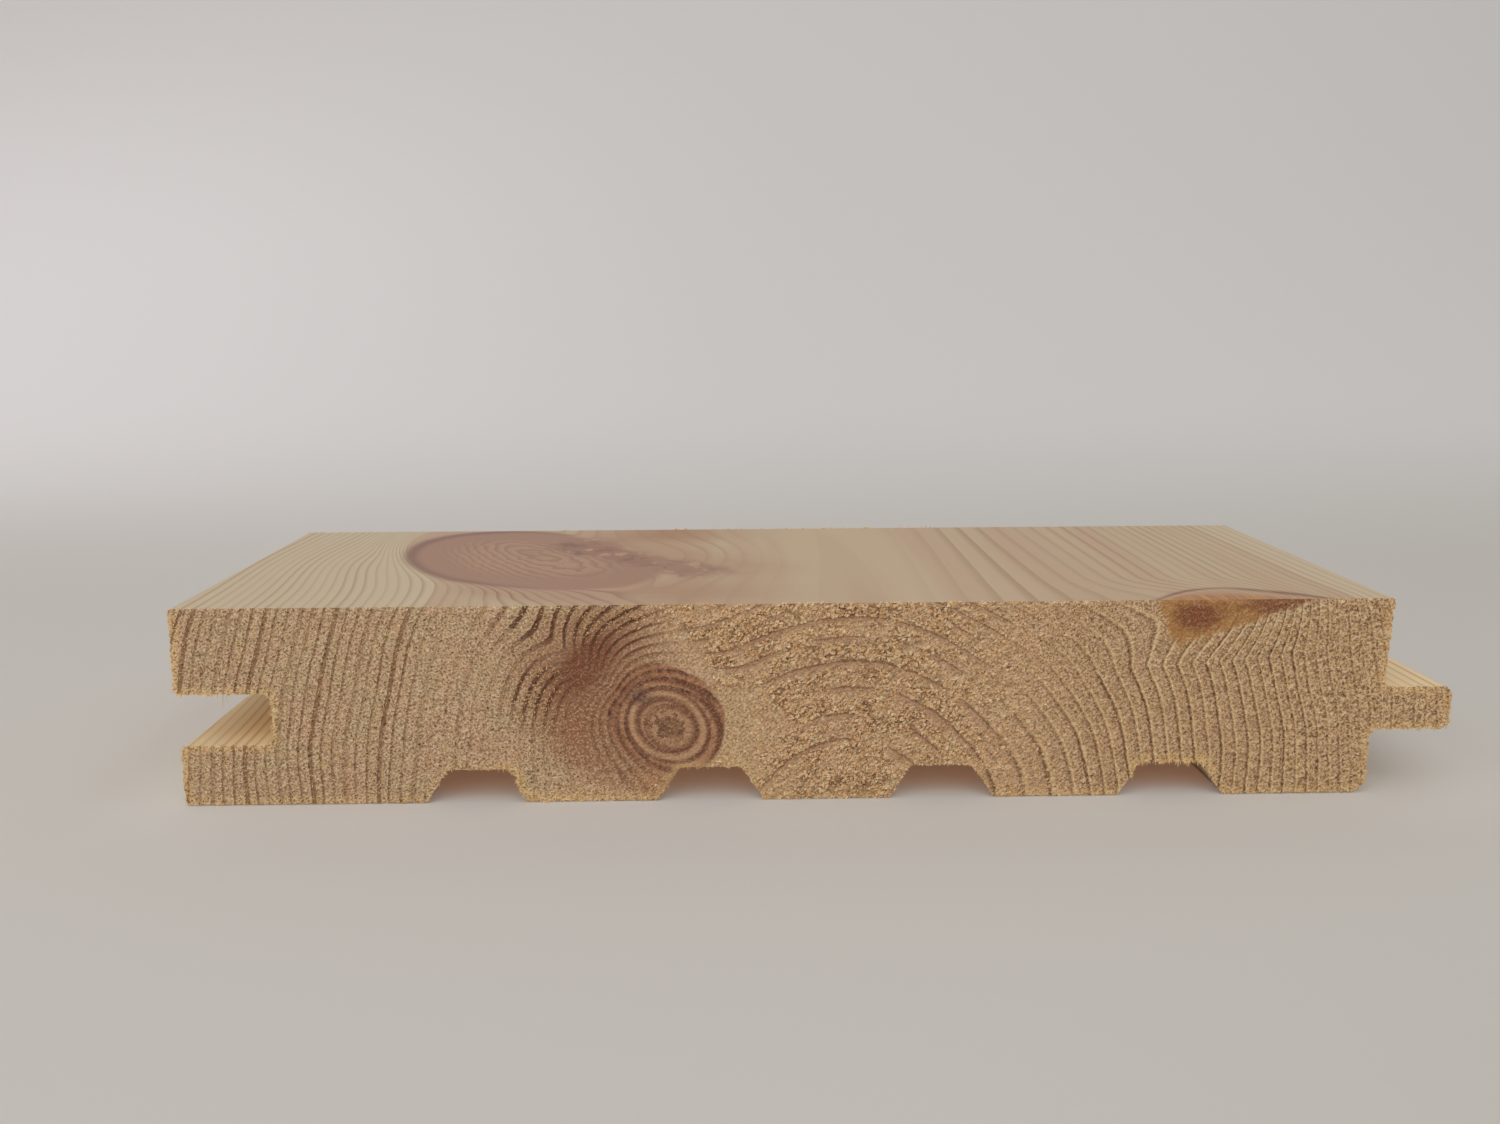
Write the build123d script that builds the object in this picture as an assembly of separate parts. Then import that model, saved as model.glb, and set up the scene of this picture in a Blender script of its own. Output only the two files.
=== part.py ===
from build123d import *
import os

# A short length of solid pine floorboard, planed on its long faces and sawn off square at both ends.
# It is one piece of wood: a tongue runs along one edge and a groove along the other, so that boards
# lock together side by side, and four relief channels run along the underside.
#
# Sizes are in millimetres. X runs across the board from the groove edge to the tongue edge, Y along the
# grain, and Z up. The origin is under the middle of the board, on the face that lies on the joists.

# The board
board_length = 54.0
thickness = 22.0
cover_width = 133.0        # face edge to face edge, which is what one laid board covers
arris_radius = 0.4         # the two long edges of the walked-on face

# The tongue, on the +X edge
tongue_length = 7.0        # how far it stands out of the walked-on face's edge
tongue_thickness = 4.8
tongue_top_depth = 10.0    # from the walked-on face down to the tongue
tongue_tip_radius = 1.0
tongue_root_radius = 0.9
joint_undercut = 0.6       # the upper shoulder leans in by this much, so that the joint closes at the face
lower_shoulder_setback = 1.9
lower_heel_radius = 2.0    # bottom edge under the tongue

# The groove, in the -X edge
groove_depth = 10.4        # from the walked-on face's edge to the groove's back wall
groove_play = 0.5          # free room above and below a tongue that sits in the groove
groove_corner_radius = 1.0
groove_mouth_radius = 0.8
lower_lip_setback = 0.4    # the lower lip is a little shorter than the upper one
lower_lip_heel_chamfer = 0.6

# The relief channels in the underside
channel_count = 4
channel_pitch = 25.5
channel_mouth_width = 11.6
channel_roof_width = 6.8
channel_depth = 3.7
channel_roof_radius = 0.7
channel_foot_radius = 0.8
channel_shift = 0.9        # the row of channels stands this far towards the tongue from the middle

# Places worked out from those sizes
overall_width = cover_width + tongue_length
groove_edge_x = -overall_width / 2
tongue_edge_x = groove_edge_x + cover_width
tongue_tip_x = overall_width / 2
tongue_top_z = thickness - tongue_top_depth
tongue_bottom_z = tongue_top_z - tongue_thickness
groove_top_z = tongue_top_z + groove_play
groove_bottom_z = tongue_bottom_z - groove_play
groove_back_x = groove_edge_x + groove_depth
lower_lip_x = groove_edge_x + lower_lip_setback
lower_shoulder_x = tongue_edge_x - lower_shoulder_setback


def groove_edge_corners():
    """The grooved edge from the walked-on face down to the underside, as (x, z, radius)."""
    return [
        (groove_edge_x, thickness, arris_radius),
        (groove_edge_x, groove_top_z, groove_mouth_radius),
        (groove_back_x, groove_top_z, groove_corner_radius),
        (groove_back_x, groove_bottom_z, groove_corner_radius),
        (lower_lip_x, groove_bottom_z, groove_mouth_radius),
        (lower_lip_x, lower_lip_heel_chamfer, 0),
        (lower_lip_x + lower_lip_heel_chamfer, 0, 0),
    ]


def channel_corners(middle_x):
    """One relief channel, from its foot on the groove's side to its foot on the tongue's side."""
    mouth, roof = channel_mouth_width / 2, channel_roof_width / 2
    return [
        (middle_x - mouth, 0, channel_foot_radius),
        (middle_x - roof, channel_depth, channel_roof_radius),
        (middle_x + roof, channel_depth, channel_roof_radius),
        (middle_x + mouth, 0, channel_foot_radius),
    ]


def tongue_edge_corners():
    """The tongued edge from the underside up to the walked-on face."""
    return [
        (lower_shoulder_x, 0, lower_heel_radius),
        (lower_shoulder_x, tongue_bottom_z, tongue_root_radius),
        (tongue_tip_x, tongue_bottom_z, tongue_tip_radius),
        (tongue_tip_x, tongue_top_z, tongue_tip_radius),
        (tongue_edge_x - joint_undercut, tongue_top_z, tongue_root_radius),
        (tongue_edge_x, thickness, arris_radius),
    ]


def section_corners():
    """The whole section, once round: grooved edge, underside with its channels, tongued edge."""
    corners = groove_edge_corners()
    for place in range(channel_count):
        from_middle = place - (channel_count - 1) / 2
        corners += channel_corners(channel_shift + from_middle * channel_pitch)
    return corners + tongue_edge_corners()


def make_floorboard():
    """The section swept half the length each way along the grain."""
    corners = section_corners()
    with BuildPart() as board:
        with BuildSketch(Plane.XZ):
            with BuildLine():
                FilletPolyline(
                    *[(x, z) for x, z, radius in corners],
                    radius=[radius for x, z, radius in corners],
                    close=True,
                )
            make_face()
        extrude(amount=board_length / 2, both=True)
    return board.part


os.makedirs("parts", exist_ok=True)
floorboard = make_floorboard()
export_step(floorboard, "parts/floorboard.step")
print("floorboard", round(floorboard.volume / 1000, 1), "cm3", floorboard.bounding_box().size)
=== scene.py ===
import math

import bpy
import numpy as np
from mathutils import Matrix, Vector, geometry, kdtree


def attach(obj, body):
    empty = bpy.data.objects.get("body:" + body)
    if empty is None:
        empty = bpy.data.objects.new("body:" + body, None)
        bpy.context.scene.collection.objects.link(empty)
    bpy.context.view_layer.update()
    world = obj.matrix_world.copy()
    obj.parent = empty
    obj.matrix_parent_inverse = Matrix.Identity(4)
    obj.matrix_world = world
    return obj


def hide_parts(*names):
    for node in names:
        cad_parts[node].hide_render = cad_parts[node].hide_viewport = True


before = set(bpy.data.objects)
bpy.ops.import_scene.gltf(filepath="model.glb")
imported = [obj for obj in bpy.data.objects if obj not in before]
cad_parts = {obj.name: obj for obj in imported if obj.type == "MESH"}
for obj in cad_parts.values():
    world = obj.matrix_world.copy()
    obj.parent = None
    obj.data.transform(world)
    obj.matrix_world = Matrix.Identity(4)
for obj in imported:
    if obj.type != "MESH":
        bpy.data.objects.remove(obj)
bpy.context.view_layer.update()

# The planed faces. The board is one length of pine, machined along the grain: a planed walking face,
# a groove and a tongue along its edges and four relief channels below. The rings of the trunk and two
# branches run right through it, so the same rules give the figure of the wood on every face.

ROOM_LIGHT = 0.69          # how light a white thing looks in the room, from 0 to 1
SECTION_STEP = 0.22        # mm between points along the section
ARRIS_MARGIN = 1.0         # mm of flat face left beside each arris
NEAR_SAW = (0.0, 0.1, 0.22, 0.4, 0.65, 1.0, 1.5, 2.2, 3.2, 4.8, 7.2, 10.8, 15.6, 21.0)  # mm from a sawn end
RAGGED_DEPTH = 0.3         # mm along the board that the torn edge reaches

PITH_X, PITH_Z = 3.0, -5.0             # the heart of the trunk, mm
KNOT_X, KNOT_Z = -16.5, 8.4            # where the big branch comes out of the front end
BRANCH_RUN = Vector((-19.5, 36.0, 13.5)).normalized()
KNOT_TOP_X, KNOT_TOP_DEPTH = -34.7, 31.0   # its middle on the walking face, from the front end
KNOT_LENGTHWAYS = Vector((-0.453, 0.891))  # and the way its oval runs there
CREASE_X, CREASE_Z = -26.5, 16.0       # the bark-side fold above the big branch
CREASE_OUT_X, CREASE_OUT_Z = -0.77, 0.64   # and the way it points outwards
SEAM_X, SEAM_DEPTH = -20.0, 31.5       # where the trunk closed over that branch
SEAM_RUN_X, SEAM_RUN_Y = 0.571, -0.821     # and the way the seam runs
SMALL_KNOT_X, SMALL_KNOT_Z = 46.0, 21.6    # where the small branch comes out of the front end
RESIN_RUN_X, RESIN_RUN_Z = 0.951, 0.309    # and the way the resin round it runs

corners_mm = [tuple(round(1000 * c, 4) for c in v.co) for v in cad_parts["floorboard"].data.vertices]
FRONT_Y = min(corner[1] for corner in corners_mm)
BACK_Y = max(corner[1] for corner in corners_mm)
TOP_Z = max(corner[2] for corner in corners_mm)


class Shade:
    """A value in a material. Python's operators on it add the nodes that work it out."""

    def __init__(self, socket):
        self.socket = socket

    def node(self, kind, settings=None, sockets=None, output=0):
        """Adds any node: its settings first, then the values or links of its sockets."""
        tree = self.socket.id_data
        made = tree.nodes.new(kind)
        for name, value in (settings or {}).items():
            setattr(made, name, value)
        for name, value in (sockets or {}).items():
            if isinstance(value, Shade):
                tree.links.new(value.socket, made.inputs[name])
            else:
                made.inputs[name].default_value = value
        return Shade(made.outputs[output])

    def maths(self, operation, *values):
        return self.node("ShaderNodeMath", {"operation": operation}, dict(enumerate(values)))

    def __add__(self, other):
        return self.maths("ADD", self, other)

    def __radd__(self, other):
        return self.maths("ADD", other, self)

    def __sub__(self, other):
        return self.maths("SUBTRACT", self, other)

    def __rsub__(self, other):
        return self.maths("SUBTRACT", other, self)

    def __mul__(self, other):
        return self.maths("MULTIPLY", self, other)

    def __rmul__(self, other):
        return self.maths("MULTIPLY", other, self)

    def __truediv__(self, other):
        return self.maths("DIVIDE", self, other)

    def __pow__(self, other):
        return self.maths("POWER", self, other)

    def __rpow__(self, other):
        return self.maths("POWER", other, self)

    def __abs__(self):
        return self.maths("ABSOLUTE", self)

    def blend(self, low, high):
        """A colour that goes from low to high as this value goes from 0 to 1."""
        # Inputs 6 and 7 and output 2 of this node are its colours.
        return self.node("ShaderNodeMix", {"data_type": "RGBA"}, {0: self, 6: low, 7: high}, 2)

    def shine_on(self, colour):
        """The colour made lighter or darker by this value."""
        return self.node("ShaderNodeVectorMath", {"operation": "SCALE"}, {0: colour, 3: self})

    def shifted(self, other):
        """This place moved by another."""
        return self.node("ShaderNodeVectorMath", {"operation": "ADD"}, {0: self, 1: other})

    def stretch(self, x, y, z):
        """A place with each of its three lengths made longer or shorter."""
        return self.node("ShaderNodeVectorMath", {"operation": "MULTIPLY"}, {0: self, 1: (x, y, z)})


def lesser(one, other, soft):
    """The lesser of two values, with a rounded corner where they meet."""
    if isinstance(one, Shade):
        return one.maths("SMOOTH_MIN", one, other, soft)
    near = np.clip(soft - np.abs(one - other), 0, None) / soft
    return np.minimum(one, other) - near**3 * soft / 6


def greater(one, other, soft):
    """The greater of two values, with a rounded corner where they meet."""
    if isinstance(one, Shade):
        return one.maths("SMOOTH_MAX", one, other, soft)
    return -lesser(-one, -other, soft)


def ramp(value, start, end):
    """0 at start, 1 at end and an easy slope between them."""
    if isinstance(value, Shade):
        reach = {0: value, 1: start, 2: end}
        return value.node("ShaderNodeMapRange", {"interpolation_type": "SMOOTHSTEP"}, reach)
    part = np.clip((value - start) / (end - start), 0, 1)
    return part * part * (3 - 2 * part)


def bell(value, width):
    """1 where the value is 0, and less on both sides."""
    return math.e ** (value * value * (-1 / width**2))


def swing(value):
    return value.maths("SINE", value) if isinstance(value, Shade) else np.sin(value)


def whole(value):
    return value.maths("FLOOR", value) if isinstance(value, Shade) else np.floor(value)


def outside_knot(x, depth, z):
    """How far a point lies outside the big branch, in mm. The branch widens as it rises."""
    rise = (z - KNOT_Z) / (TOP_Z - KNOT_Z)
    from_x = x - KNOT_X - (KNOT_TOP_X - KNOT_X) * rise
    from_y = depth - KNOT_TOP_DEPTH * rise
    along = (from_x * KNOT_LENGTHWAYS.x + from_y * KNOT_LENGTHWAYS.y) / 1.6
    across = from_x * KNOT_LENGTHWAYS.y - from_y * KNOT_LENGTHWAYS.x
    return (along * along + across * across) ** 0.5 - 7.0 - 8.0 * rise


def growth(x, y, z):
    """How the wood grew at a point in mm: its age in years, how many years deep it lies in the big
    branch, how far it is from that branch's pith, and how deep it lies in the fold above it."""
    depth = y - FRONT_Y
    wander_x = x + 0.16 * swing(0.30 * z + 0.21 * x + 0.05 * y) + 0.07 * swing(0.7 * z - 0.27 * x + 1.3)
    wander_z = z + 0.22 * swing(0.23 * x - 0.04 * y + 2.0)
    # On both sides of the big branch the rings bulge round it.
    bulge = 5.0 * bell(x + 50.0, 15.0) - 9.0 * bell(x + 14.0, 11.0)
    wander_x = wander_x + bulge * bell(depth - 31.0, 17.0)
    # The small branch has pushed the rings outwards above a sharp crotch.
    above = lesser(wander_z - 15.0 - 0.10 * (x - 42.0) + 0.28 * depth, 5.0, 2.0)
    push = greater(above, 0.0, 0.3) * bell(x - 44.5, 9.5) * ramp(depth, 14.0, 1.0)
    ring_x = wander_x - PITH_X
    ring_z = wander_z - PITH_Z - 6.0 * ramp(abs(ring_x), 12.0, 42.0)
    radius = (ring_x * ring_x + ring_z * ring_z) ** 0.5 - 1.15 * push
    # The rings are 3 mm wide near the heart, and narrower in two steps outwards.
    trunk_age = 0.34 * radius + 0.35 * greater(radius - 25.5, 0.0, 6.0)
    trunk_age = trunk_age + 0.12 * greater(radius - 47.0, 0.0, 6.0)
    # The big branch is a slanting cone of its own rings, and the trunk's rings flow round it.
    from_x, from_z = x - KNOT_X, z - KNOT_Z
    along = from_x * BRANCH_RUN.x + depth * BRANCH_RUN.y + from_z * BRANCH_RUN.z
    off_squared = from_x * from_x + depth * depth + from_z * from_z - along * along
    off = (greater(off_squared, 0.0, 0.1) + 6.5) ** 0.5 - 2.55
    beyond = greater(outside_knot(x, depth, z), 0.0, 2.0) * ramp(depth, 3.0, 14.0)
    branch_age = 1.6 + 0.155 * along + 1.25 * off + 1.3 * beyond
    # In the fold above it the rings turn sharply, most at the front end.
    fold_x, fold_z = x - CREASE_X, z - CREASE_Z
    across = CREASE_OUT_Z * fold_x - CREASE_OUT_X * fold_z
    out = CREASE_OUT_Z * fold_z + CREASE_OUT_X * fold_x
    outer = greater(out, 0.0, 1.0)
    fold = math.e ** ((across * across + 0.12 + 0.12 * outer * outer) ** 0.5 * (-1 / 2.6))
    fold = fold * ramp(out, -8.0, -1.0) * ramp(out, 16.0, 0.0) * ramp(depth, 6.0, 0.0)
    age = lesser(trunk_age, branch_age, 6.0) + 3.6 * fold
    return age, trunk_age - branch_age, off, fold


def resin(x, y, z):
    """How deep a point lies, in mm, in the resin that soaked the wood round the small branch."""
    depth = y - FRONT_Y
    from_x, from_z = x - SMALL_KNOT_X, z - SMALL_KNOT_Z
    along = RESIN_RUN_X * from_x + RESIN_RUN_Z * from_z
    upward = RESIN_RUN_X * from_z - RESIN_RUN_Z * from_x
    arch = 6.0 - 0.0775 * (along - 0.5) * (along - 0.5) - depth
    return lesser(upward + 2.4 - 0.39 * depth, arch, 2.0)


def srgb(red, green, blue):
    """A colour as it looks in this room's light, from 0 to 255, made into the colour of the thing itself."""
    seen = [((c / 255 + 0.055) / 1.055) ** 2.4 for c in (red, green, blue)]
    level = max(ROOM_LIGHT, max(seen) / 0.92)
    return tuple(c / level for c in seen) + (1.0,)


def finish(name):
    """A new material: its shader, and the place of each point of the wood in mm."""
    material = bpy.data.materials.new(name)
    material.use_nodes = True
    tree = material.node_tree
    shader = tree.nodes["Principled BSDF"]
    corner = Shade(tree.nodes.new("ShaderNodeTexCoord").outputs["Object"])
    place = corner.stretch(1000.0, 1000.0, 1000.0)
    split = place.node("ShaderNodeSeparateXYZ", {}, {0: place}).socket.node
    return material, shader, place, [Shade(split.outputs[axis]) for axis in range(3)]


def link(shader, socket, value):
    shader.id_data.links.new(value.socket, shader.inputs[socket])


def mottle(place, size, detail=2.0, shift=0.0):
    """Soft random patches about as large as size, in mm, from 0 to 1."""
    sockets = {"Vector": place, "W": shift, "Scale": 1 / size, "Detail": detail}
    return place.node("ShaderNodeTexNoise", {"noise_dimensions": "4D"}, sockets)


def new_object(name, data):
    """A new object, put in the scene."""
    made = bpy.data.objects.new(name, data)
    bpy.context.scene.collection.objects.link(made)
    return made


def section_points():
    """The board's section, read from the front end of the solid: points in order round it, in mm."""
    pairs = set()
    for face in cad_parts["floorboard"].data.polygons:
        loop = [corners_mm[i] for i in face.vertices]
        if all(corner[1] < FRONT_Y + 0.001 for corner in loop):
            pairs.update(zip(loop, loop[1:] + loop[:1]))
    following = {a: b for a, b in pairs if (b, a) not in pairs}
    first = min((a for a in following if a[2] > TOP_Z - 0.001), key=lambda a: a[0])
    chain = [first]
    while following[chain[-1]] != first:
        chain.append(following[chain[-1]])
    points = []
    for a, b in zip(chain, chain[1:] + chain[:1]):
        span = Vector((b[0] - a[0], b[2] - a[2]))
        parts = math.ceil(span.length / SECTION_STEP)
        points += [(a[0] + span.x * k / parts, a[2] + span.y * k / parts) for k in range(parts)]
    return np.array(points)


def closed_noise(count, seed, coarse, fine):
    """Random waves round the closed section, between two lengths in points."""
    white = np.random.default_rng(seed).standard_normal(count)
    often = np.fft.rfftfreq(count)
    kept = np.exp(-((often * fine) ** 2)) * (1 - np.exp(-((often * coarse) ** 2)))
    waves = np.fft.irfft(np.fft.rfft(white) * kept, count)
    return waves / waves.std()


section = section_points()
ahead, behind = np.roll(section, -1, 0), np.roll(section, 1, 0)
outward = (ahead - behind)[:, ::-1] * (1, -1)
outward /= np.linalg.norm(outward, axis=1)[:, None]
section_x, section_z = section.T
# The saw tears the edges most on the last channel's roof, the first one's far slope and the sides.
torn = 0.45 + 1.6 * bell(section_x - 40.0, 4.5) * (section_z > 2.0) * (section_z < 5.0)
torn += 1.6 * bell(section_x + 31.0, 3.2) * (section_z < 4.5) + 0.5 * (section_x < -69.0)
torn += 0.4 * (section_x < -57.0) * (section_z > 5.5) * (section_z < 13.5) + 0.3 * (section_x > 59.0)
torn += 0.25 * (section_z < 0.3)
torn *= np.where(section_z > TOP_Z - 0.6, 0.15, 1.0)
ragged = {}
for end_y, seed in ((FRONT_Y, 11), (BACK_Y, 12)):
    waves = 0.6 * closed_noise(len(section), seed, 18, 4) + 0.5 * closed_noise(len(section), seed + 5, 6, 2)
    bulge = 0.4 * bell(section_x + 32.3, 1.1) * (section_z < 2.5) * (section_z > 0.1)
    ragged[end_y] = np.clip(0.09 * torn * waves, -0.3, 0.22) + bulge


def rim(end_y):
    """The torn edge of a sawn end, as points across and up, in mm."""
    return section + outward * ragged[end_y][:, None]


def sweep(name, indexes):
    """Runs part of the section along the board, ragged for the last half millimetre at each end."""
    ends = [FRONT_Y + d for d in NEAR_SAW] + [BACK_Y - d for d in reversed(NEAR_SAW)]
    rows = []
    for y in ends:
        near_front = math.exp(-(((y - FRONT_Y) / RAGGED_DEPTH) ** 2))
        near_back = math.exp(-(((BACK_Y - y) / RAGGED_DEPTH) ** 2))
        shift = ragged[FRONT_Y] * near_front + ragged[BACK_Y] * near_back
        row = (section + outward * shift[:, None])[indexes]
        rows.append(np.column_stack([row[:, 0], np.full(len(row), y), row[:, 1]]))
    count = len(indexes)
    faces = []
    for r in range(len(rows) - 1):
        for c in range(count - 1):
            a = r * count + c
            faces.append((a, a + 1, a + count + 1, a + count))
    mesh = bpy.data.meshes.new(name)
    mesh.from_pydata((np.concatenate(rows) / 1000).tolist(), [], [f[::-1] for f in faces])
    mesh.set_sharp_from_angle(angle=math.radians(38))
    for polygon in mesh.polygons:
        polygon.use_smooth = True
    return new_object(name, mesh)


def unroll(piece, indexes, strips):
    """Lays the swept faces out flat for baking, in as many strips as given, one above the other."""
    steps = np.linalg.norm(np.diff(section[indexes], axis=0), axis=1)
    reach = np.concatenate([[0], np.cumsum(steps)])
    width = reach[-1] / strips
    uv = piece.data.uv_layers.new(name="OFBake").data
    count = len(indexes)
    for polygon in piece.data.polygons:
        columns = [v % count for v in polygon.vertices]
        strip = min(int((reach[columns].mean()) / width), strips - 1)
        for corner, vertex in zip(polygon.loop_indices, polygon.vertices):
            across = (reach[vertex % count] - strip * width) / width
            along = (1000 * piece.data.vertices[vertex].co.y - FRONT_Y) / (BACK_Y - FRONT_Y)
            uv[corner].uv = (0.01 + 0.98 * across, (strip + 0.02 + 0.96 * along) / strips)


def planed_branch(tint, place, x, age, oval, in_branch, patches):
    """The big branch on a planed face: brown, with its own fine rings and a dark skin."""
    in_knot = ramp(oval, 1.2, -0.8) * ramp(in_branch, -2.5, 0.0)
    browns = ramp(oval, -9.0, -3.0).blend(srgb(160, 124, 98), srgb(148, 111, 90))
    own_age = 0.8 * age + 1.6 * (mottle(place, 2.5, 2.0, 4.0) - 0.5)
    own_year = own_age - whole(own_age)
    own_lines = ramp(own_year, 0.3, 0.9) * ramp(own_year, 1.0, 0.9) * ramp(oval, -2.5, -7.0)
    knot = (own_lines * (0.4 + 0.5 * patches)).blend(browns, srgb(128, 92, 74))
    tint = (in_knot * 0.94).blend(tint, knot)
    skin = bell(oval + 0.3, 0.8) * ramp(x, -26.0, -44.0) * (0.4 + 0.9 * patches)
    return (skin * 0.8).blend(tint, srgb(112, 78, 66))


def closed_seam(tint, place, x, z, depth, near_top, patches):
    """The rough dark seam where the trunk closed over the branch, with warmer wood past it."""
    ragged = mottle(place.stretch(1.0, 0.6, 1.0), 2.4, 4.0)
    bend = 1.3 * swing(0.22 * depth) + 7.0 * (ragged - 0.5) + 5.0 * (patches - 0.5)
    along = SEAM_RUN_X * (x - SEAM_X) + SEAM_RUN_Y * (depth - SEAM_DEPTH)
    across = SEAM_RUN_X * (depth - SEAM_DEPTH) - SEAM_RUN_Y * (x - SEAM_X + 2.0) + bend
    on_seam = ramp(abs(along), 20.0, 13.0) * ramp(z, 14.0, 21.0)
    tint = (ramp(abs(across), 5.5, 2.4) * on_seam * 0.8).blend(tint, srgb(136, 98, 80))
    blots = ramp(ragged, 0.54, 0.6) * ramp(abs(across), 4.0, 1.5) * on_seam
    tint = (blots * 0.7).blend(tint, srgb(104, 72, 60))
    streaked = ramp(ragged, 0.44, 0.37) * ramp(abs(across), 5.5, 2.5) * on_seam
    tint = (streaked * 0.6).blend(tint, srgb(184, 150, 124))
    warm_side = bell(across - 6.0, 6.0) * ramp(abs(along), 26.0, 12.0) * near_top
    tint = (warm_side * 0.45).blend(tint, srgb(156, 116, 88))
    warm_back = bell(x + 18.0, 8.0) * ramp(depth, 40.0, 48.0) * ramp(across, 0.0, 3.0)
    return (warm_back * 0.8).blend(tint, srgb(152, 112, 80))


def planed_wood(name, gloss, depth_of_colour, sap_light, sap_dark):
    """Planed pine: pale sapwood, pinkish heartwood, brown knots and resin, with fine long fibres."""
    material, shader, place, (x, y, z) = finish(name)
    age, in_branch, _, _ = growth(x, y, z)
    year = age - whole(age)
    depth = y - FRONT_Y
    patches = mottle(place.stretch(1.0, 0.25, 1.0), 9.0)
    fibres = mottle(place.stretch(1.0, 0.03, 1.0), 0.22, 3.0)
    # The dark late wood of each year, faint over the heart, and the pinkish heartwood inside the sapwood.
    strong = (0.75 + 0.25 * swing(5.3 * whole(age) + 1.7)) * (0.3 + 0.7 * ramp(abs(x - PITH_X), 8.0, 20.0))
    late = ramp(year, 0.5, 0.93) * ramp(year, 1.0, 0.965) * strong
    heart = ramp(age - 0.0713 * (x - PITH_X), 29.6, 28.6)
    # Near the top every face takes the walking face's colours. Lower down the sapwood takes the colours
    # given, which on the moulded faces are paler and warmer: painted light for warm light in the groove and
    # channels.
    near_top = ramp(z, 17.0, 21.0)
    late_colour = late * (depth_of_colour + (0.75 - depth_of_colour) * near_top)
    pale_sap = near_top.blend(sap_light, srgb(184, 166, 138))
    sap = late_colour.blend(pale_sap, near_top.blend(sap_dark, srgb(156, 130, 98)))
    bands = mottle(place.stretch(1.0, 0.06, 1.0), 6.0, 1.0)
    pink = ramp(bands, 0.38, 0.62).blend(srgb(178, 157, 127), srgb(175, 148, 121))
    heartwood = late_colour.blend(pink, srgb(152, 121, 92))
    tint = heart.blend(sap, heartwood)
    # A plain warm patch between the knot and the sawn edge.
    plain = bell(x + 15.0, 10.0) * bell(depth - 7.0, 8.0) * ramp(z, 15.0, 20.0)
    tint = (plain * 0.9).blend(tint, srgb(160, 125, 97))
    oval = outside_knot(x, depth, z) + 1.5 * (patches - 0.5)
    tint = planed_branch(tint, place, x, age, oval, in_branch, patches)
    # Crowded pinkish rings where the trunk squeezed past the branch.
    crowded = ramp(oval, 7.0, 2.5) * ramp(oval, -0.5, 0.6) * ramp(depth, 34.0, 16.0)
    crowded = crowded * ramp(x, -43.0, -37.0) * ramp(x, -18.0, -25.0)
    tint = (crowded * 0.9).blend(tint, (late * 0.9).blend(srgb(166, 134, 108), srgb(134, 96, 74)))
    tint = closed_seam(tint, place, x, z, depth, near_top, patches)
    # Resin round the small branch, under a dark arch.
    soaked = resin(x, y, z)
    amber = ramp(fibres, 0.35, 0.7).blend(srgb(150, 100, 60), srgb(182, 134, 84))
    amber = ramp(depth, 1.5, 4.0).blend(amber, srgb(168, 130, 100))
    tint = ramp(soaked, -0.2, 1.6).blend(tint, amber)
    outline = bell(soaked + 0.5 + 1.2 * (patches - 0.5), 0.55) * ramp(depth, 9.0, 5.0)
    tint = (outline * ramp(patches, 0.3, 0.45) * 0.8).blend(tint, srgb(108, 62, 38))
    tint = (0.93 + 0.14 * fibres).shine_on(tint)
    link(shader, "Base Color", tint)
    link(shader, "Roughness", gloss + 0.12 * fibres)
    shader.inputs["Specular IOR Level"].default_value = 0.3
    relief = 0.5 * fibres + 0.6 * late + 0.25 * swing(2.2 * y)
    bump = {"Strength": 0.35, "Distance": 0.00003, "Height": relief}
    link(shader, "Normal", place.node("ShaderNodeBump", {}, bump))
    return material


flat = np.flatnonzero((section_z > TOP_Z - 0.001) & (section_x > section_x[0] + ARRIS_MARGIN))
flat = flat[section_x[flat] < section_x[flat].max() - ARRIS_MARGIN]
across_top = np.arange(flat[0], flat[-1] + 1)
round_the_rest = np.arange(flat[-1], flat[0] + len(section) + 1) % len(section)

walking_face = sweep("walking_face", across_top)
unroll(walking_face, across_top, 2)
planed_pine = planed_wood("planed_pine", 0.42, 0.75, srgb(184, 166, 138), srgb(156, 130, 98))
walking_face.data.materials.append(planed_pine)

moulded_faces = sweep("moulded_faces", round_the_rest)
unroll(moulded_faces, round_the_rest, 4)
# A paler, warmer copy of the planed pine: painted light for the warm light in the groove and channels.
moulded_pine = planed_wood("moulded_pine", 0.5, 1.0, srgb(232, 210, 170), srgb(184, 148, 102))
moulded_faces.data.materials.append(moulded_pine)

for piece in (walking_face, moulded_faces):
    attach(piece, "root")
    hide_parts("floorboard")

# The sawn ends. A coarse saw cut the board across the grain and left the ends furry: crumbs of torn
# fibre in the middle, ridges along the rings to the right and fine pores to the left. The knots are
# harder and came out smooth. Each end is one sheet of fine triangles that meets the planed faces.

GRAIN_STEP = 0.187         # mm between the points of a sawn end
SHEET_STEP = 0.1           # mm between the points of the sheets of random relief
RIM_CLEAR = 0.115          # mm between the rim and the first points inside it
RELIEF_X, RELIEF_Z = -73.0, -1.5           # the lower left corner of those sheets, mm
LAYOUT_X, LAYOUT_Z = -70.5, -0.4           # the corner and size of what is laid out for baking, mm
LAYOUT_WIDTH, LAYOUT_HEIGHT = 141.0, 22.8

SAW_RUN_X, SAW_RUN_Z = 0.79, 0.62          # the way that the saw ran over them

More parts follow.
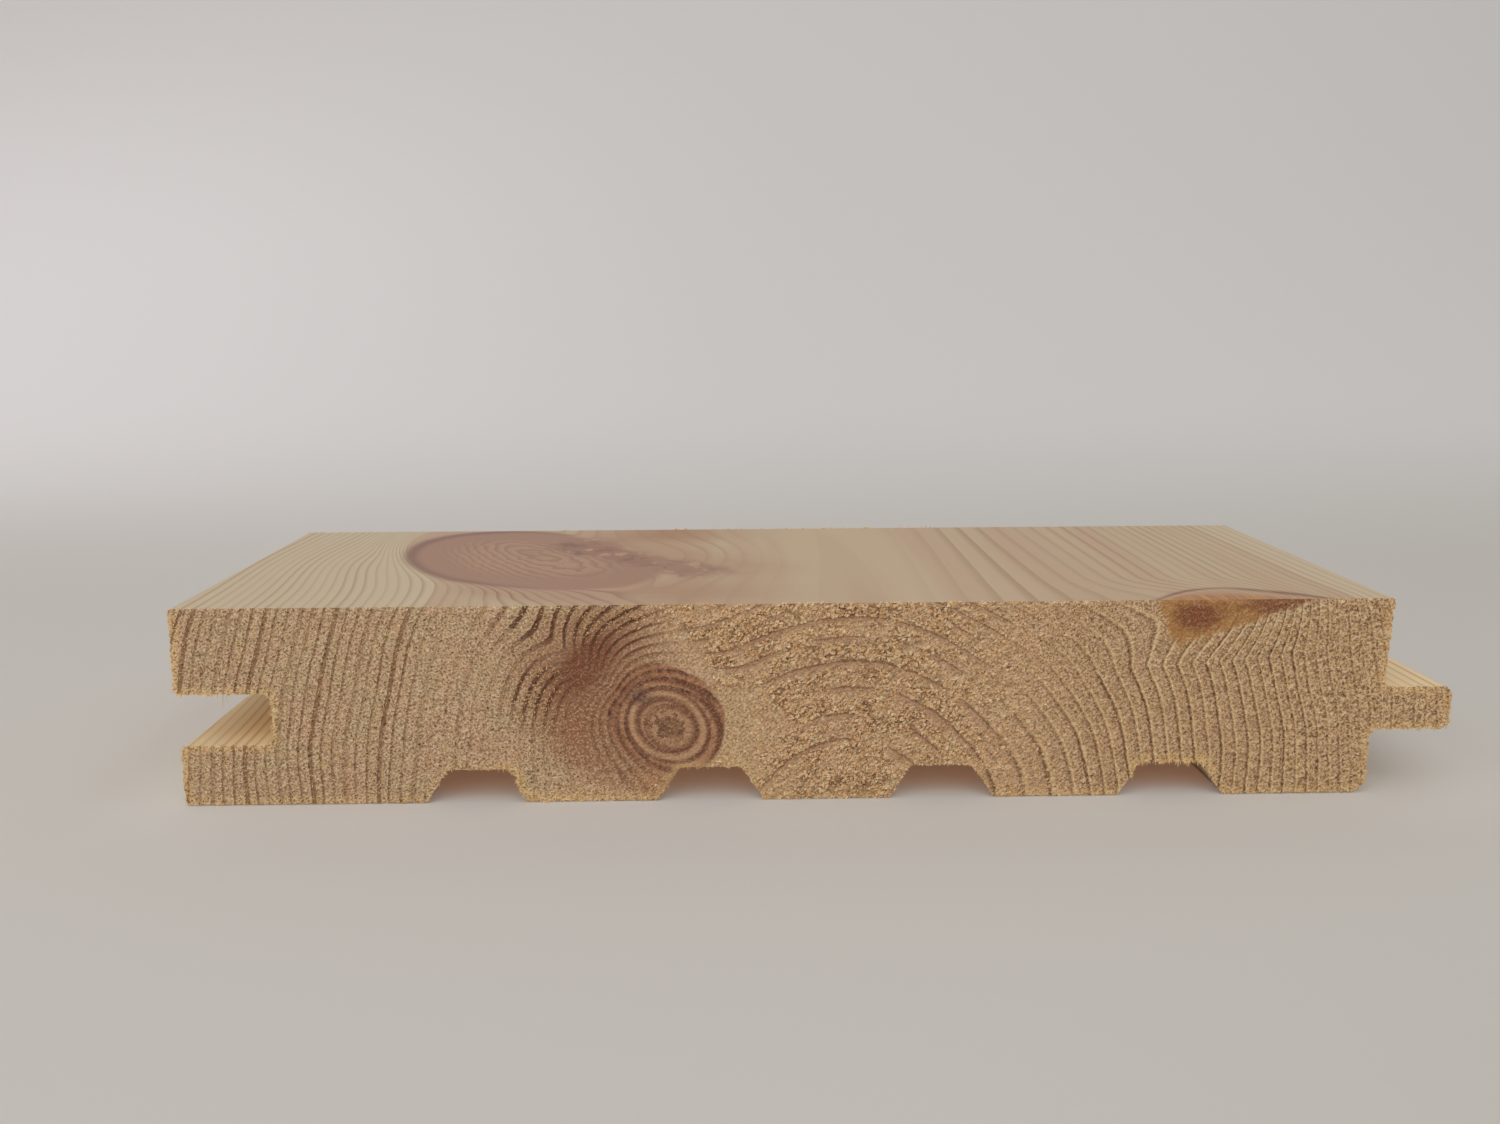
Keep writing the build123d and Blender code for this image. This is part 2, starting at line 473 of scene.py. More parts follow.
# Marks on the front end, in mm across and up.
DARK_FOLD_X, DARK_FOLD_Z = -25.4, 15.4
FOLD_OUT_X, FOLD_OUT_Z = -0.69, 0.72       # the way it points outwards
SLOTS_BESIDE_FOLD = (-30.8, 12.4)
SLOTS_AT_EDGE = (-29.5, 20.4)
RED_SIDE = (-26.5, 8.5)
BLACK_SPOT = (-19.5, 11.7)
EDGE_SPOT = (4.6, 0.0)
AMBER_CORE = (41.3, 20.2)
AMBER_TAIL = (52.5, 21.6)
WEDGE_X, CLEAR_X = -18.4, -8.4


def random_sheet(seed, coarse, fine, turn=0.0, stretch=1.0):
    """Random waves over the whole end, between two lengths in mm, drawn out along one direction."""
    shape = (int((TOP_Z - 2 * RELIEF_Z) / SHEET_STEP), int(-2 * RELIEF_X / SHEET_STEP))
    white = np.random.default_rng(seed).standard_normal(shape)
    up, across = np.meshgrid(*(np.fft.fftfreq(n, SHEET_STEP) for n in shape), indexing="ij")
    c, s = math.cos(math.radians(turn)), math.sin(math.radians(turn))
    often = np.hypot((across * c + up * s) * stretch, up * c - across * s)
    kept = np.exp(-((often * fine) ** 2)) * (1 - np.exp(-((often * coarse) ** 2)))
    sheet = np.fft.ifft2(np.fft.fft2(white) * kept).real
    return sheet / sheet.std()


def read_sheet(sheet, x, z):
    """The sheet's height at points of the end."""
    column, row = (x - RELIEF_X) / SHEET_STEP, (z - RELIEF_Z) / SHEET_STEP
    c, r = column.astype(int), row.astype(int)
    u, v = column - c, row - r
    low = sheet[r, c] * (1 - u) + sheet[r, c + 1] * u
    high = sheet[r + 1, c] * (1 - u) + sheet[r + 1, c + 1] * u
    return low * (1 - v) + high * v


def spot(x, z, middle, wide, high):
    """A soft mark on a sawn end: 1 in its middle, and less outwards."""
    return bell(x - middle[0], wide) * bell(z - middle[1], high)


def sawn_relief(x, z, end_y, seed):
    """How far each point stands out of a sawn end, in mm, and how crumbly, hairy and smooth it is there."""
    age, in_branch, off, fold = growth(x, np.full_like(x, end_y), z)
    year = age - np.floor(age)
    fine = read_sheet(random_sheet(seed, 0.6, 0.26), x, z)
    crumbs = read_sheet(random_sheet(seed + 1, 0.9, 0.32, 35, 1.5), x, z)
    strokes = read_sheet(random_sheet(seed + 2, 0.8, 0.3, 42, 2.6), x, z)
    beads = read_sheet(random_sheet(seed + 3, 1.3, 0.5), x, z)
    patches = read_sheet(random_sheet(seed + 4, 7.0, 3.0, 30, 1.5), x, z)
    waves = read_sheet(random_sheet(seed + 5, 14.0, 6.0, 35, 2.0), x, z)

    # Hard wood came out smooth: the branch, the fold, the resin, and clear wood beside each knot.
    soaked = resin(x, np.full_like(x, end_y), z)
    hard = np.maximum.reduce([
        ramp(in_branch, -1.2, 0.8) * ramp(off, 9.5, 7.0),
        ramp(fold, 0.25, 0.6),
        ramp(soaked, -1.8, -0.4),
        bell(x + 8.6, 2.6) * ramp(z, 14.5, 11.0),
        0.8 * bell(x - 39.5, 5.0) * ramp(z, 14.2, 15.8) * ramp(soaked, 1.0, -1.0),
    ])
    right = ramp(x + 2.0 * patches, 12.0, 30.0)
    left = ramp(x + 1.2 * patches, -10.0, -20.0)
    middle = 1 - np.clip(left + right, 0, 1)
    band = ramp(year + 0.08 * beads, 0.6, 0.74) * ramp(year, 1.0, 0.985)
    band *= ramp(waves + 0.9 * np.sin(2.6 * np.floor(age)) + 0.09 * (z - 11.0), -0.9, 0.5)
    crumbly = middle * (1 - hard) * (1 - band) * ramp(patches + 0.5 * beads, -1.7, 0.0)
    smooth = middle * (1 - hard) * band
    groove = bell(np.mod(year + 0.5, 1) - 0.43, 0.06)
    ridge = bell(np.mod(year + 0.5, 1) - 0.56, 0.06) * (0.9 + 0.6 * np.clip(beads, -1.5, 1.6))
    pores = np.clip(-fine - 0.9, 0, 1.2)

    height = crumbly * 0.19 * np.clip(crumbs, -1.0, 1.6) + middle * (0.05 * fine + 0.06 * strokes)
    height += right * (0.07 * fine + 0.07 * strokes + 0.11 * ridge - 0.08 * groove)
    height += left * (0.06 * fine + 0.03 * strokes - 0.06 * groove - 0.12 * pores)
    height = height * (1 - 0.8 * hard) + 0.05 * waves
    hairy = (0.35 + right * (0.4 + 2.0 * ridge) + 0.6 * left) * (1 - hard) ** 2
    return height, crumbly, hairy, smooth


def in_section(edge, point):
    """Whether a point lies inside the section, by the sides that a line from it to the right crosses."""
    following = np.roll(edge, -1, 0)
    crossed = (edge[:, 1] > point[1]) != (following[:, 1] > point[1])
    a, b = edge[crossed], following[crossed]
    cuts = a[:, 0] + (point[1] - a[:, 1]) / (b[:, 1] - a[:, 1]) * (b[:, 0] - a[:, 0])
    return (cuts > point[0]).sum() % 2 == 1


def sawn_end(name, end_y, seed):
    """One end of the board as a sheet of fine triangles, displaced by what the saw left."""
    edge = rim(end_y)
    draw = np.random.default_rng(seed)
    following = np.roll(edge, -1, 0)
    inside = []
    rows = np.arange(0.1, TOP_Z, GRAIN_STEP * 0.866)
    for count, height in enumerate(rows):
        crossing = (edge[:, 1] > height) != (following[:, 1] > height)
        a, b = edge[crossing], following[crossing]
        cuts = np.sort(a[:, 0] + (height - a[:, 1]) / (b[:, 1] - a[:, 1]) * (b[:, 0] - a[:, 0]))
        line = np.arange(-71, 71, GRAIN_STEP) + (count % 2) * GRAIN_STEP / 2
        for start, end in zip(cuts[::2], cuts[1::2]):
            kept = line[(line > start + RIM_CLEAR) & (line < end - RIM_CLEAR)]
            inside += [(x, height) for x in kept]
    inside = np.array(inside)
    inside += draw.uniform(-0.2, 0.2, inside.shape) * GRAIN_STEP
    nearest = kdtree.KDTree(len(edge))
    for index, (x, z) in enumerate(edge):
        nearest.insert((x, z, 0), index)
    nearest.balance()
    found = [nearest.find((x, z, 0)) for x, z in inside]
    away = np.array([distance for _, _, distance in found])
    frayed = np.array([torn[index] for _, index, _ in found])
    clear = away > RIM_CLEAR
    inside, away, frayed = inside[clear], away[clear], frayed[clear]
    flat_points = [Vector(p) for p in np.concatenate([edge, inside]).tolist()]
    ring = [list(range(len(edge)))]
    points, _, faces, *_ = geometry.delaunay_2d_cdt(flat_points, [], ring, 1, 1e-6, False)
    points = np.array([tuple(p) for p in points])
    faces = [f for f in faces if max(f) >= len(edge) or in_section(edge, points[list(f)].mean(0))]
    away = np.concatenate([np.zeros(len(edge)), away])
    frayed = np.concatenate([torn, frayed])
    away, frayed = (np.pad(values, (0, len(points) - len(values))) for values in (away, frayed))
    straw = ramp(away, 1.25, 0.15) * np.clip(frayed, 0, 1.2)
    height, crumbly, hairy, smooth = sawn_relief(points[:, 0], points[:, 1], end_y, seed)
    height *= ramp(away, 0.0, 0.25)
    side = -1 if end_y == FRONT_Y else 1
    places = np.column_stack([points[:, 0], end_y + side * height, points[:, 1]]) / 1000
    mesh = bpy.data.meshes.new(name)
    mesh.from_pydata(places.tolist(), [], faces if side < 0 else [f[::-1] for f in faces])
    for label, values in (("crumbly", crumbly), ("hairy", hairy), ("smooth", smooth), ("straw", straw)):
        mesh.attributes.new(label, "FLOAT", "POINT").data.foreach_set("value", values.astype(np.float32))
    lay_out_end(mesh, points)
    return new_object(name, mesh)


def lay_out_end(mesh, points, strips=3):
    """Lays a sawn end out for baking, cut into strips one above the other."""
    uv = mesh.uv_layers.new(name="OFBake").data
    width = LAYOUT_WIDTH / strips
    for polygon in mesh.polygons:
        corners = points[list(polygon.vertices)]
        strip = int((corners[:, 0].mean() - LAYOUT_X) / width)
        for corner, (x, z) in zip(polygon.loop_indices, corners):
            across = (x - LAYOUT_X - strip * width) / width
            up = (z - LAYOUT_Z) / LAYOUT_HEIGHT
            uv[corner].uv = (0.01 + 0.98 * across, (strip + 0.03 + 0.94 * up) / strips)


def lumps(place, saw_run):
    """Crumbs drawn out along the saw's way: how far off the gap between them is, and each one's tone."""
    jolt = place.node("ShaderNodeTexNoise", {}, {"Vector": place, "Scale": 1.6}, 1)
    cells = {"Vector": saw_run.shifted(jolt).stretch(0.6, 1.0, 1.0), "Scale": 2.4}
    gap = place.node("ShaderNodeTexVoronoi", {"feature": "DISTANCE_TO_EDGE"}, cells)
    tone = place.node("ShaderNodeTexVoronoi", {}, cells, 1)
    return gap, place.node("ShaderNodeSeparateXYZ", {}, {0: tone})


def sawn_branch(place, x, z, off, own_rings, broken):
    """The big branch sawn across: brown rings round a paler middle, and cracks out from its pith."""
    round_it = place.maths("ARCTAN2", z - KNOT_Z, x - KNOT_X)
    spokes = mottle(place.node("ShaderNodeCombineXYZ", {}, {0: 6.0 * round_it, 1: 0.5 * off}), 0.5, 2.0)
    knot_light = ramp(off, 1.5, 3.2).blend(srgb(168, 128, 96), srgb(156, 108, 77))
    knot_dark = ramp(off, 1.0, 2.6).blend(srgb(108, 70, 46), srgb(76, 41, 28))
    browner = lesser(own_rings * (0.75 + 1.1 * (broken - 0.5)) + 2.0 * (spokes - 0.5), 1.0, 0.1)
    knot = browner.blend(knot_light, knot_dark)
    pale_ring = bell(off - 1.75, 0.22)
    knot = (pale_ring * 0.8).blend(knot, srgb(178, 138, 104))
    outermost = bell(off - 3.15, 0.3) * (0.5 + 0.5 * ramp(x - KNOT_X, -3.0, 2.0))
    dark_ring = bell(off - 1.25, 0.2) + 0.9 * bell(off - 2.15, 0.17) + outermost
    knot = (dark_ring * 0.85).blend(knot, srgb(98, 56, 38))
    pit = ramp(off, 0.8, 0.4) * ramp(mottle(place, 0.4, 2.0, 5.0), 0.50, 0.56)
    return (pit * 0.75).blend(knot, srgb(84, 56, 40))


def single_marks(tint, x, z, grain, in_knot):
    """A black spot in the knot, clear wood to its right, an orange wedge below it, and a dark spot at
    the lower edge."""
    black = spot(x, z, BLACK_SPOT, 1.2, 0.9) * ramp(grain, 0.2, 0.5)
    tint = (black * 0.95).blend(tint, srgb(76, 48, 42))
    clear = bell(x - CLEAR_X, 2.8) * ramp(z, 15.0, 12.0) * (1 - in_knot)
    tint = (clear * 0.85).blend(tint, srgb(176, 146, 106))
    wedge = bell(x - WEDGE_X, 1.8) * ramp(z, 4.0, 2.4) * ramp(z + 1.4 * (x - WEDGE_X), -1.0, 0.5)
    tint = (wedge * 0.9).blend(tint, srgb(160, 116, 82))
    return (spot(x, z, EDGE_SPOT, 1.6, 0.7) * 0.95).blend(tint, srgb(80, 56, 42))


def sawn_wood(name):
    """Pine across the grain: tan fuzz with brown ring lines, brown knots and amber resin."""
    material, shader, place, (x, y, z) = finish(name)
    age, in_branch, off, _ = growth(x, y, z)
    crumbly, smooth_band, straw_rim = (
        place.node("ShaderNodeAttribute", {"attribute_name": label}, output=2)
        for label in ("crumbly", "smooth", "straw")
    )
    patches = mottle(place, 3.5, 2.0)
    speckle = mottle(place, 0.25, 1.0)
    pits = mottle(place, 0.3, 1.0, 9.0)
    grain = mottle(place, 0.5, 2.0)
    broken = mottle(place, 2.0, 2.0, 3.0)
    # The saw ran slantwise and drew the fibres out along its way.
    run_along = SAW_RUN_X * x + SAW_RUN_Z * z
    run_across = SAW_RUN_X * z - SAW_RUN_Z * x
    saw_run = place.node("ShaderNodeCombineXYZ", {}, {0: run_along, 1: run_across})
    strokes = mottle(saw_run.stretch(0.28, 1.0, 1.0), 0.26, 2.0)
    furrows = mottle(saw_run.stretch(0.36, 1.0, 1.0), 0.7, 2.0, 11.0)
    dots = mottle(place, 0.42, 1.0, 13.0)
    left = ramp(x, -16.0, -30.0)
    right = ramp(x, 14.0, 32.0)
    between = (1 - left) * (1 - right)
    worn_year = age + 0.2 * (mottle(place, 0.45, 2.0, 7.0) - 0.5)
    year = worn_year - whole(worn_year)
    strong = 0.85 + 0.25 * swing(5.3 * whole(worn_year) + 1.7) + 0.8 * (broken - 0.5)

    tint = ramp(patches, 0.35, 0.65).blend(srgb(178, 156, 124), srgb(181, 150, 122))
    tint = (right * 0.8).blend(tint, srgb(172, 139, 106))
    tint = (between * 0.8).blend(tint, srgb(186, 152, 118))
    # Ring lines: broad and brown to the left, a straw ridge with a dark cut beside it to the right, and
    # in the middle a smooth pinkish band with a thin line along it. The ridge and the cut are pale and dark
    # wood with painted highlight on the ridge and painted shade in the cut, for relief finer than the mesh.
    width = 0.62 + 0.13 * swing(2.1 * whole(worn_year) + 0.4)
    line = ramp(year, width, width + 0.2) * ramp(year, 1.0, 0.95)
    dotted = 1 - 0.9 * ramp(x, -46.0, -40.0) * ramp(grain, 0.64, 0.48)
    line = line * strong * left * ramp(broken, 0.12, 0.3) * dotted
    tint = (smooth_band * 0.85).blend(tint, srgb(164, 130, 101))
    thin_line = bell(year - 0.945, 0.04) * ramp(smooth_band, 0.1, 0.7)
    clear_right = ramp(x - 0.8 * z, 8.0, 26.0) * (0.5 + 0.5 * ramp(x, 58.0, 51.0))
    each = 0.85 + 0.3 * swing(3.7 * whole(worn_year) + 0.6)
    # Painted shade in the cut and painted highlight on the ridge beside it.
    cut = bell(year - 0.9, 0.075) * clear_right * ramp(broken, 0.15, 0.4) * each
    ridge = bell(year - 0.09, 0.085) * clear_right * ramp(broken, 0.1, 0.35)
    gap, lump_tone = lumps(place, saw_run)
    # The crumbs are pale straw, partly their own colour and partly painted highlight.
    crumb = lump_tone.blend(srgb(192, 152, 112), srgb(254, 228, 186))
    tint = (crumbly * 0.9).blend(tint, crumb)
    # The branch, a warm halo round it, and a dark fold above it.
    depth = y - FRONT_Y
    front_half = ramp(depth, 30.0, 20.0)
    upper_right = ramp(x, -21.0, -14.5) * ramp(z, 11.5, 14.0)
    halo = ramp(in_branch, -2.6, 0.6) * ramp(x, -9.5, -12.5) * (1 - 0.75 * upper_right)
    tint = (halo * 0.8).blend(tint, srgb(144, 103, 74))
    tint = (spot(x, z, RED_SIDE, 2.4, 4.0) * 0.75).blend(tint, srgb(138, 88, 60))
    knot_edge = off - 0.12 * (z - KNOT_Z) + 0.5 * (broken - 0.5)
    at_front = ramp(knot_edge, 3.85, 3.45)
    at_back = ramp(outside_knot(x, depth, z), 0.8, -0.5) * ramp(in_branch, -1.6, 0.0)
    in_knot = at_front * front_half + at_back * (1 - front_half)
    own_rings = ramp(year, 0.2, 0.7) * ramp(year, 1.05, 0.85)
    tint = in_knot.blend(tint, sawn_branch(place, x, z, off, own_rings, broken))
    outer_rings = ramp(off, 7.5, 4.5) * (1 - in_knot) * front_half * own_rings
    outer_rings = outer_rings * ramp(x, -13.0, -18.0) * (1 - 0.5 * upper_right)
    tint = (outer_rings * 0.7).blend(tint, srgb(104, 66, 44))
    fold_x, fold_z = x - DARK_FOLD_X, z - DARK_FOLD_Z
    fold_out = FOLD_OUT_X * fold_x + FOLD_OUT_Z * fold_z
    fold_along = FOLD_OUT_Z * fold_x - FOLD_OUT_X * fold_z + 1.5 * (broken - 0.5)
    dark_fold = bell(fold_along, 4.0) * bell(fold_out, 2.1) * front_half
    fold_brown = (own_rings * 0.6).blend(srgb(122, 72, 46), srgb(84, 46, 29))
    tint = (lesser(dark_fold * 1.8, 1.0, 0.1) * 0.95).blend(tint, fold_brown)
    # Ring lines stand out black-brown where they run into the fold.
    slots = 1.3 * spot(x, z, SLOTS_BESIDE_FOLD, 3.0, 3.0) + 0.9 * bell(x + 22.0, 4.5) * ramp(z, 15.0, 17.5)
    slots = slots + 1.4 * spot(x, z, SLOTS_AT_EDGE, 5.0, 2.3) * ramp(broken, 0.2, 0.5)
    slot_line = ramp(year, 0.58, 0.76) * ramp(year, 1.0, 0.94)
    slots = slot_line * lesser(slots * 1.4, 1.0, 0.1)
    tint = single_marks(tint, x, z, grain, in_knot)
    # Resin round the small branch, darkest in two places and honey-coloured round the edge.
    streaks = mottle(saw_run.stretch(0.4, 1.5, 1.0), 0.7, 3.0)
    soaked = resin(x, y, z) + 1.8 * (streaks - 0.5)
    core = spot(x, z, AMBER_CORE, 2.8, 1.6) + 1.8 * spot(x, z, AMBER_TAIL, 5.0, 1.3)
    amber = ramp(core + 0.9 * (streaks - 0.5), 0.0, 0.8).blend(srgb(164, 118, 66), srgb(120, 68, 38))
    stain = ramp(soaked, -5.0, 0.0) * ramp(x, 31.0, 36.0) * ramp(x, 50.0, 44.0)
    tint = (stain * 0.5).blend(tint, srgb(156, 122, 84))
    tint = ramp(soaked, -0.9, 0.6).blend(tint, amber)
    hard = lesser(in_knot + ramp(soaked, -0.5, 0.5) + 1.4 * dark_fold + 0.6 * halo, 1.0, 0.01)
    soft = 1 - 0.75 * hard
    # Painted shade in the gaps and furrows between the crumbs and painted highlight on the furrows' pale
    # sides, and a dotted ground at the far right.
    tint = (crumbly * ramp(gap, 0.16, 0.05) * 0.55).blend(tint, srgb(120, 82, 54))
    tint = (ramp(furrows, 0.48, 0.41) * crumbly * 0.5).blend(tint, srgb(130, 90, 60))
    tint = (ramp(furrows, 0.52, 0.58) * crumbly * 0.8).blend(tint, srgb(254, 230, 188))
    dotted_right = ramp(x, 42.0, 54.0) * soft
    tint = (ramp(dots, 0.53, 0.6) * dotted_right * 0.8).blend(tint, srgb(238, 208, 160))
    tint = (ramp(dots, 0.45, 0.38) * dotted_right * 0.7).blend(tint, srgb(118, 84, 56))
    # Fine fuzz: pale fibre ends and dark pores, their own colours strengthened with painted highlight and
    # shade of the fuzz, fewer on the hard wood and the smooth bands.
    fuzzy = soft * (1 - 0.7 * smooth_band) * (1 - 0.3 * between)
    fuzzy = fuzzy * (1 - 0.4 * crumbly) * (1 - 0.2 * clear_right)
    tint = (ramp(strokes, 0.53, 0.62) * (1 - left) * fuzzy * 0.6).blend(tint, srgb(222, 190, 147))
    tint = (ramp(strokes, 0.46, 0.38) * (1 - left) * fuzzy * 0.5).blend(tint, srgb(118, 85, 57))
    tint = (straw_rim * 0.75).blend(tint, srgb(208, 176, 122))
    tint = (ramp(speckle, 0.52, 0.6) * fuzzy * 0.7).blend(tint, srgb(224, 199, 166))
    tint = (ramp(speckle, 0.46, 0.39) * fuzzy * 0.62).blend(tint, srgb(118, 86, 61))
    tint = (ramp(pits, 0.36, 0.31) * fuzzy * 0.8).blend(tint, srgb(86, 57, 38))
    # The ring lines lie over the fuzz.
    tint = (slots * 0.9).blend(tint, srgb(84, 50, 34))
    tint = (thin_line * 0.7).blend(tint, srgb(116, 80, 55))
    tint = (line * 0.72).blend(tint, srgb(124, 90, 63))
    # The cut carries painted shade and the ridge painted highlight.
    tint = (cut * (1 - 0.8 * hard) * 0.72).blend(tint, srgb(104, 71, 46))
    tint = (ridge * ramp(speckle, 0.26, 0.44) * (1 - hard)).blend(tint, srgb(252, 222, 172))
    link(shader, "Base Color", (0.9 + 0.2 * grain).shine_on(tint))
    link(shader, "Roughness", 0.9 - 0.3 * hard)
    relief = speckle + 0.8 * strokes + 0.4 * grain + 0.25 * ridge - 0.3 * cut - 0.4 * line
    relief = relief + crumbly * (2.0 * lesser(gap, 0.25, 0.1) + lump_tone)
    bump = {"Strength": 1.0, "Distance": 0.0002, "Height": relief}
    link(shader, "Normal", place.node("ShaderNodeBump", {}, bump))
    shader.inputs["Specular IOR Level"].default_value = 0.3
    return material


sawn_pine = sawn_wood("sawn_pine")
sawn_ends = {}
for name, end_y, seed in (("front_sawn_end", FRONT_Y, 40), ("back_sawn_end", BACK_Y, 60)):
    end = sawn_end(name, end_y, seed)
    end.data.materials.append(sawn_pine)
    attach(end, "root")
    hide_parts("floorboard")
    sawn_ends[end_y] = end.data

# The torn fibres. Where the saw left the wood it pulled slivers of fibre over the edges: a thin straw
# fringe all round each end, with longer wisps at the groove and ragged teeth on two of the channels.
# Fine hairs stand on the sawn end itself, and loose crumbs lie in the middle of it.

FIBRE_SIDES = 3
TABLE_GAP = 0.12           # mm between the lands and the table, which the torn fibres fill
# Wisps: where each one starts, in mm across and up, where it points, and its length.
WISPS = (
    (-69.9, 16.8, -1.0, 0.15, 1.2), (-69.9, 16.5, -1.0, -0.3, 0.8), (-69.9, 14.2, -1.0, 0.1, 1.1),
    (-69.9, 13.9, -0.8, -0.6, 0.7), (-64.7, 12.5, -0.1, -1.0, 1.6), (-64.4, 12.5, 0.1, -1.0, 1.1),
    (-65.3, 12.5, -0.3, -1.0, 0.7), (47.3, 0.1, 0.3, -0.4, 0.5), (48.4, 0.1, -0.4, -0.3, 0.5),
)


def sliver(root, heading, length, width, bend):
    """One torn fibre as a thin bent spike: its points and faces, in mm."""
    heading = heading / np.linalg.norm(heading)
    side = np.cross(heading, (0.3, 0.2, 0.93))
    side /= np.linalg.norm(side)
    up = np.cross(side, heading)
    points = []
    for part, thick in ((0.0, 1.0), (0.4, 0.85), (0.75, 0.5)):
        centre = root + heading * length * part + bend * (part * part)
        for k in range(FIBRE_SIDES):
            turn = math.tau * k / FIBRE_SIDES
            points.append(centre + (side * math.cos(turn) + 0.5 * up * math.sin(turn)) * width * thick / 2)
    points.append(root + heading * length + bend)
    for point in points:
        point[2] = max(point[2], -TABLE_GAP)
    faces = []
    for ring in range(2):
        for k in range(FIBRE_SIDES):
            a, b = ring * FIBRE_SIDES + k, ring * FIBRE_SIDES + (k + 1) % FIBRE_SIDES
            faces.append((a, b, b + FIBRE_SIDES, a + FIBRE_SIDES))
    last = 2 * FIBRE_SIDES
    faces += [(last + k, last + (k + 1) % FIBRE_SIDES, last + FIBRE_SIDES) for k in range(FIBRE_SIDES)]
    return points, faces


def fringe(end_y, seed, count):
    """The fringe round one end: short fibres all round, more and longer ones where the edge is torn."""
    draw = np.random.default_rng(seed)
    side = -1 if end_y == FRONT_Y else 1
    edge = rim(end_y)
    chance = torn / torn.sum()
    slivers = []
    for index in draw.choice(len(edge), count, p=chance):
        strength = min(torn[index], 1.3)
        out = np.array([outward[index, 0], 0.0, outward[index, 1]])
        heading = out * draw.uniform(0.2, 1.0)
        heading += (draw.normal(0, 0.5), side * draw.uniform(0.1, 0.9), draw.normal(-0.25, 0.4))
        root = np.array([edge[index, 0], end_y - side * draw.uniform(0.0, 0.15), edge[index, 1]]) - out * 0.06
        length = draw.gamma(3.0, 0.07) * (0.55 + 0.6 * strength)
        bend = np.array([draw.normal(0, 0.08), 0.0, draw.normal(-0.05, 0.08)])
        slivers.append(sliver(root, heading, min(length, 0.8), draw.uniform(0.05, 0.13), bend))
    for x, z, turn_x, turn_z, length in WISPS:
        root = np.array([x, end_y - side * 0.1, z])
        heading = np.array([turn_x, side * 0.25, turn_z])
        slivers.append(sliver(root, heading, length, 0.16, np.array([0.1, 0.0, -0.12])))
    return slivers


def picked_points(mesh, label, count, draw):
    """Random points of a sawn end, in mm, more of them where the named value is high."""
    points = np.empty(len(mesh.vertices) * 3, np.float32)
    mesh.vertices.foreach_get("co", points)
    chance = np.empty(len(mesh.vertices), np.float32)
    mesh.attributes[label].data.foreach_get("value", chance)
    chance = np.clip(chance, 0, None).astype(float)
    return points.reshape(-1, 3)[draw.choice(len(chance), count, p=chance / chance.sum())] * 1000


def hairs(end_y, seed, count):
    """Short fine hairs on a sawn end, most of them combed along the way that the saw ran."""
    draw = np.random.default_rng(seed)
    side = -1 if end_y == FRONT_Y else 1
    made = []
    for root in picked_points(sawn_ends[end_y], "hairy", count, draw):
        turn = draw.normal(0.75, 0.7) + math.pi * draw.integers(2)
        heading = np.array([math.cos(turn), side * draw.uniform(0.25, 1.0), math.sin(turn)])
        tip = root + heading * draw.uniform(0.12, 0.36)
        across = np.array([-math.sin(turn), 0.0, math.cos(turn)]) * draw.uniform(0.04, 0.08)
        foot = np.array([0.0, side * 0.05, 0.0])
        points = [root - across - foot, root + across - foot, root + foot, tip]
        made.append((points, [(0, 1, 3), (1, 2, 3), (2, 0, 3)]))
    return made


def loose_crumbs(end_y, seed, count):
    """Small lumps of torn wood on the middle of a sawn end, longer along the way that the saw ran."""
    draw = np.random.default_rng(seed)
    made = []
    for middle in picked_points(sawn_ends[end_y], "crumbly", count, draw):
        turn = draw.normal(0.62, 0.5)
        along = np.array([math.cos(turn), draw.normal(0, 0.25), math.sin(turn)]) * draw.uniform(0.12, 0.32)
        across = np.array([-math.sin(turn), draw.normal(0, 0.25), math.cos(turn)]) * draw.uniform(0.08, 0.18)
        out = np.array([0.0, draw.uniform(0.06, 0.17), 0.0])
        corners = [middle + way for way in (along, across, -along, -across, out, -out)]
        points = [corner + draw.normal(0, 0.03, 3) for corner in corners]
        faces = [(k, (k + 1) % 4, 4) for k in range(4)] + [((k + 1) % 4, k, 5) for k in range(4)]
        made.append((points, faces))
    return made


def bits(name, own_shapes):
    """One piece made of many small shapes."""
    points, faces = [], []
    for own_points, own_faces in own_shapes:
        faces += [tuple(i + len(points) for i in face) for face in own_faces]
        points += own_points
    mesh = bpy.data.meshes.new(name)
    mesh.from_pydata((np.array(points) / 1000).tolist(), [], faces)
    return new_object(name, mesh)


def torn_wood(name, dark, pale):
    """Loose wood: pale straw to orange, in soft patches."""
    material, shader, place, _ = finish(name)
    patches = mottle(place, 0.6, 2.0)
    link(shader, "Base Color", ramp(patches, 0.35, 0.65).blend(dark, pale))
    link(shader, "Roughness", 0.75 + 0.15 * patches)
    return material


torn_pine = torn_wood("torn_pine", srgb(200, 166, 116), srgb(226, 200, 156))
crumbled_pine = torn_wood("crumbled_pine", srgb(194, 156, 112), srgb(252, 224, 182))
for end, end_y, seed in (("front", FRONT_Y, 70), ("back", BACK_Y, 80)):
    fibres = bits(end + "_torn_fibres", fringe(end_y, seed, 2600) + hairs(end_y, seed + 1, 16000))
    fibres.data.materials.append(torn_pine)
    crumbs = bits(end + "_crumbs", loose_crumbs(end_y, seed + 2, 8000))
    crumbs.data.materials.append(crumbled_pine)
    for piece in (fibres, crumbs):
        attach(piece, "root")

# The table and the light. The sample lies on a pale sheet that curves up behind it, under one wide soft
# light in front and above and a weaker one overhead, with weak light from all round.

SHEET_WIDTH = 2.4          # m
SHEET_FRONT, BEND_START, BEND_RADIUS, SHEET_TOP = -0.9, 0.34, 0.5, 1.6

